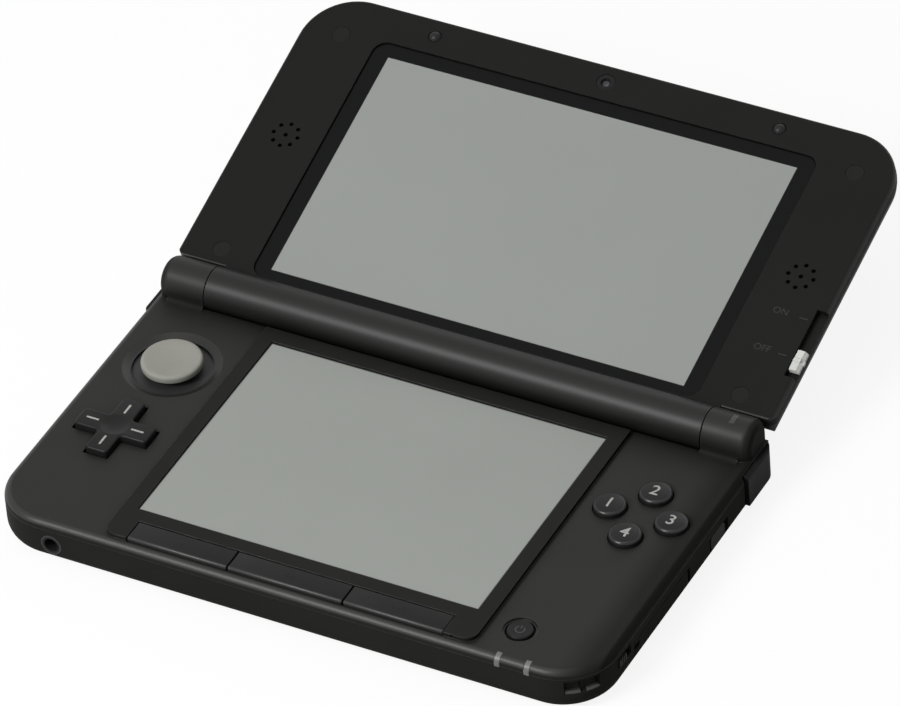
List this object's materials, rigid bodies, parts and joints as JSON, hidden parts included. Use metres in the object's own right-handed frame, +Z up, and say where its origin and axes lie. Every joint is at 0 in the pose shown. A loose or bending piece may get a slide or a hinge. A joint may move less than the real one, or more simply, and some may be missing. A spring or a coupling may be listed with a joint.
{
  "type": "clamshell handheld game console",
  "caption": "Clamshell handheld game console lying open: a wide lid with the upper screen, hinged to a base with a touch screen, direction pad, circle pad, buttons, ports and a stylus.",
  "frame": {"origin": "on the flat underside, on the middle line, 46.5 mm behind the front face", "axes": "+X to the player's right, +Y from the player towards the hinge, +Z up out of the lower screen"},
  "size_m": [0.1574, 0.1715, 0.0397],
  "materials": {
    "deck": "satin",
    "case": "satin",
    "lid_shell": "matte",
    "lens": "gloss",
    "touch_film": "matte",
    "screen": "satin",
    "pad_cap": "matte",
    "keys": "satin",
    "slider_plastic": "satin",
    "pale_plastic": "satin",
    "light_guide": "translucent",
    "steel": "brushed",
    "circuit_board": "lacquered",
    "battery_wrap": "film wrapped",
    "rubber": "matte",
    "black_plastic": "satin",
    "dark_window": "gloss",
    "gold_contact": "polished",
    "ribbon": "film"
  },
  "bodies": {
    "base": {"deck_shell": "deck", "lower_case": "case", "battery_cover": "case", "cover_screws": "steel", "case_screws": "steel", "touch_panel": "touch_film", "lower_display": "screen", "display_frame": "steel", "main_board": "circuit_board", "battery": "battery_wrap", "circle_pad_base": "black_plastic", "dpad_membrane": "rubber", "button_membrane": "rubber", "menu_key_switches": "circuit_board", "game_card_socket": "steel", "memory_card_socket": "steel", "memory_card": "black_plastic", "card_bay": "case", "headphone_jack": "black_plastic", "charging_jack": "steel", "infrared_window": "dark_window", "cradle_contacts": "gold_contact", "volume_board": "circuit_board", "indicator_lights": "light_guide", "notification_light": "light_guide", "microphone": "black_plastic", "hinge_click_unit": "steel", "hinge_bush": "steel", "shoulder_pins": "steel", "stylus_tube": "black_plastic"},
    "lid": {"lid_frame": "lid_shell", "lid_cover": "lid_shell", "lid_lens": "lens", "upper_display": "screen", "speakers": "black_plastic", "inner_camera": "black_plastic", "outer_cameras": "black_plastic", "lid_bumpers": "rubber", "screw_caps": "black_plastic", "lid_screws": "steel", "flex_cable": "ribbon"},
    "depth_slider": {"depth_slider": "pale_plastic"},
    "circle_pad_slider": {"circle_pad_slider": "pale_plastic"},
    "circle_pad": {"circle_pad_cap": "pad_cap"},
    "dpad_pivot": {"dpad_pivot": "pale_plastic"},
    "dpad": {"dpad": "keys"},
    "face_button_left": {"face_button_left": "keys"},
    "face_button_top": {"face_button_top": "keys"},
    "face_button_right": {"face_button_right": "keys"},
    "face_button_bottom": {"face_button_bottom": "keys"},
    "menu_key_left": {"menu_key_left": "keys"},
    "menu_key_middle": {"menu_key_middle": "keys"},
    "menu_key_right": {"menu_key_right": "keys"},
    "power_button": {"power_button": "keys"},
    "volume_slider": {"volume_slider": "slider_plastic"},
    "wireless_switch": {"wireless_switch": "slider_plastic"},
    "shoulder_button_left": {"shoulder_button_left": "case"},
    "shoulder_button_right": {"shoulder_button_right": "case"},
    "stylus": {"stylus": "black_plastic"},
    "memory_card_door": {"memory_card_door": "case"}
  },
  "joints": [
    {"name": "lid_hinge", "type": "hinge", "parent": "base", "child": "lid", "pos_m": [0, 0.0406, 0.0143], "axis": [1, 0, 0], "range_deg": [0, 163.2]},
    {"name": "depth_slide", "type": "slide", "parent": "lid", "child": "depth_slider", "axis": [0, 0.9573, 0.289], "range_m": [-0.0015, 0.011]},
    {"name": "circle_pad_x", "type": "slide", "parent": "base", "child": "circle_pad_slider", "axis": [1, 0, 0], "range_m": [-0.0022, 0.0022], "stiffness_N_per_m": 300},
    {"name": "circle_pad_y", "type": "slide", "parent": "circle_pad_slider", "child": "circle_pad", "axis": [0, 1, 0], "range_m": [-0.0022, 0.0022], "stiffness_N_per_m": 300},
    {"name": "dpad_tilt_front_back", "type": "hinge", "parent": "base", "child": "dpad_pivot", "pos_m": [-0.0626, -0.0112, 0.00915], "axis": [1, 0, 0], "range_deg": [-1.8, 1.8], "stiffness_Nm_per_rad": 0.12},
    {"name": "dpad_tilt_sideways", "type": "hinge", "parent": "dpad_pivot", "child": "dpad", "pos_m": [-0.0626, -0.0112, 0.00915], "axis": [0, 1, 0], "range_deg": [-1.8, 1.8], "stiffness_Nm_per_rad": 0.12},
    {"name": "face_button_left_press", "type": "slide", "parent": "base", "child": "face_button_left", "axis": [0, 0, -1], "range_m": [0, 0.0012], "stiffness_N_per_m": 700},
    {"name": "face_button_top_press", "type": "slide", "parent": "base", "child": "face_button_top", "axis": [0, 0, -1], "range_m": [0, 0.0012], "stiffness_N_per_m": 700},
    {"name": "face_button_right_press", "type": "slide", "parent": "base", "child": "face_button_right", "axis": [0, 0, -1], "range_m": [0, 0.0012], "stiffness_N_per_m": 700},
    {"name": "face_button_bottom_press", "type": "slide", "parent": "base", "child": "face_button_bottom", "axis": [0, 0, -1], "range_m": [0, 0.0012], "stiffness_N_per_m": 700},
    {"name": "menu_key_left_press", "type": "slide", "parent": "base", "child": "menu_key_left", "axis": [0, 0, -1], "range_m": [0, 0.0005], "stiffness_N_per_m": 1500},
    {"name": "menu_key_middle_press", "type": "slide", "parent": "base", "child": "menu_key_middle", "axis": [0, 0, -1], "range_m": [0, 0.0005], "stiffness_N_per_m": 1500},
    {"name": "menu_key_right_press", "type": "slide", "parent": "base", "child": "menu_key_right", "axis": [0, 0, -1], "range_m": [0, 0.0005], "stiffness_N_per_m": 1500},
    {"name": "power_button_press", "type": "slide", "parent": "base", "child": "power_button", "axis": [0, 0, -1], "range_m": [0, 0.0004], "stiffness_N_per_m": 1500},
    {"name": "volume_slide", "type": "slide", "parent": "base", "child": "volume_slider", "axis": [0, 1, 0], "range_m": [-0.004, 0.004]},
    {"name": "wireless_switch_slide", "type": "slide", "parent": "base", "child": "wireless_switch", "axis": [0, 1, 0], "range_m": [0, 0.0025], "stiffness_N_per_m": 300},
    {"name": "shoulder_button_left_press", "type": "hinge", "parent": "base", "child": "shoulder_button_left", "pos_m": [-0.0672, 0.0426, 0.0063], "axis": [0, 0, 1], "range_deg": [0, 4], "stiffness_Nm_per_rad": 0.25},
    {"name": "shoulder_button_right_press", "type": "hinge", "parent": "base", "child": "shoulder_button_right", "pos_m": [0.0672, 0.0426, 0.0063], "axis": [0, 0, -1], "range_deg": [0, 4], "stiffness_Nm_per_rad": 0.25},
    {"name": "stylus_pull", "type": "slide", "parent": "base", "child": "stylus", "axis": [1, 0, 0], "range_m": [0, 0.092]},
    {"name": "memory_card_door_hinge", "type": "hinge", "parent": "base", "child": "memory_card_door", "pos_m": [0.07715, 0.0015, 0.0055], "axis": [0, 0, 1], "range_deg": [0, 100]}
  ]
}
